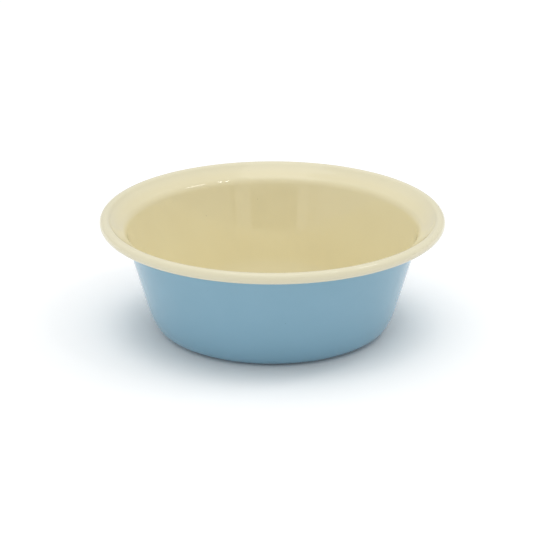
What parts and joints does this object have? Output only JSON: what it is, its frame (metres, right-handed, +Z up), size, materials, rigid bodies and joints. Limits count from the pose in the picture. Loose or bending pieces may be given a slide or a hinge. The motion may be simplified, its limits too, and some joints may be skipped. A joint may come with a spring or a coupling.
{
  "type": "enamel basin bowl",
  "caption": "Round enamelled steel basin bowl with a tapered wall, a sloping flange and a hollow rolled rim, cream inside and on the rim and blue outside.",
  "frame": {"origin": "on the bowl's axis, at the height of the surface that it stands on", "axes": "+Z up along the axis of symmetry, out of the bowl's mouth"},
  "size_m": [0.22, 0.22, 0.075],
  "materials": {
    "steel": "satin",
    "ground_enamel": "gloss",
    "cream_enamel": "gloss",
    "blue_enamel": "gloss"
  },
  "bodies": {
    "root": {"steel_bowl": "steel", "ground_coat": "ground_enamel", "cream_cover_coat": "cream_enamel", "blue_cover_coat": "blue_enamel"}
  },
  "joints": []
}
